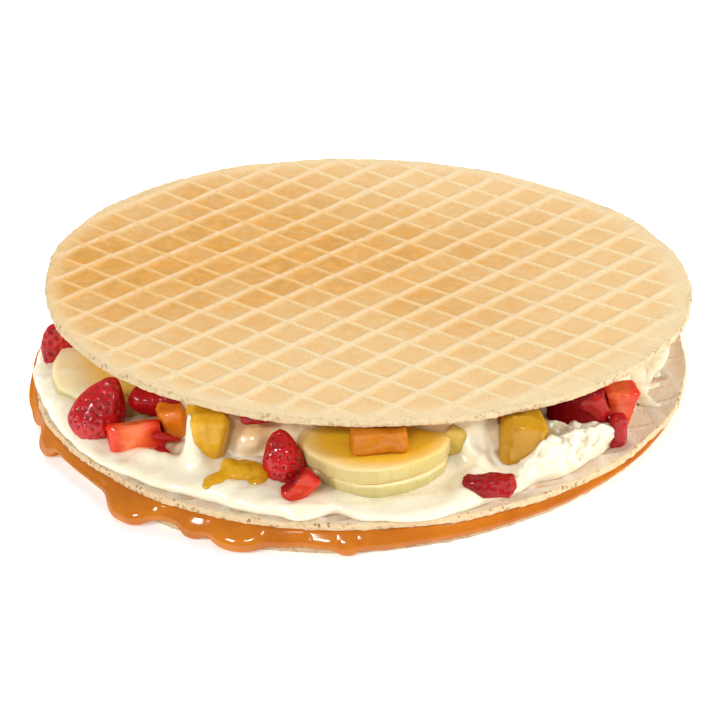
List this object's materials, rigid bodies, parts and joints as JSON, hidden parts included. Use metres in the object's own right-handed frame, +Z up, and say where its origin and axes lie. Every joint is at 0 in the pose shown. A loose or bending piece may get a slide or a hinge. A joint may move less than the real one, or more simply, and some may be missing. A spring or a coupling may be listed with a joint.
{
  "type": "filled wafer cookie",
  "caption": "Round sandwich of thin lattice wafers with caramel running over the rim and a cream layer set with strawberry, banana, mango and papaya pieces.",
  "frame": {"origin": "centre of the bottom wafer's flat underside, where the part rests", "axes": "+Z up through the layers, -Y towards the open front where the fruit shows, +X to the right seen from that front"},
  "size_m": [0.1544, 0.164, 0.0263],
  "materials": {
    "wafer": "dry baked wafer, pale golden with warmer pressed cells and a fine porous edge",
    "caramel": "thick glossy caramel, orange brown",
    "cream": "smooth whipped cream, ivory white with a soft wet sheen",
    "banana": "moist sliced banana, pale yellow with a greener rim",
    "mango": "wet ripe mango, golden yellow",
    "papaya": "wet diced papaya, deep orange",
    "strawberry": "wet strawberry, deep red skin with small seeds and orange red cut faces"
  },
  "bodies": {
    "root": {"wafer_bottom": "wafer", "wafer_middle": "wafer", "wafer_top": "wafer", "caramel": "caramel", "cream": "cream", "banana_bit": "banana", "banana_slice_left": "banana", "banana_slice_lower": "banana", "banana_slice_rear_left": "banana", "banana_slice_rear_right": "banana", "banana_slice_upper": "banana", "mango_block_front": "mango", "mango_block_left": "mango", "mango_block_rear_left": "mango", "mango_dice_rear": "mango", "mango_dice_right": "mango", "mango_pulp_front": "mango", "mango_pulp_mid": "mango", "papaya_dice_front": "papaya", "papaya_dice_left": "papaya", "papaya_dice_rear": "papaya", "papaya_dice_rear_left": "papaya", "papaya_sliver_right": "papaya", "strawberry_cut_mid": "strawberry", "strawberry_dice_front": "strawberry", "strawberry_dice_left": "strawberry", "strawberry_dice_rear": "strawberry", "strawberry_dice_right": "strawberry", "strawberry_half_left": "strawberry", "strawberry_half_mid": "strawberry", "strawberry_half_rear_left": "strawberry", "strawberry_half_rear_right": "strawberry", "strawberry_sliver_front": "strawberry", "strawberry_stick_right": "strawberry", "strawberry_tip_front": "strawberry", "strawberry_tip_left": "strawberry", "strawberry_wedge_left": "strawberry", "strawberry_wedge_right": "strawberry"}
  },
  "joints": []
}
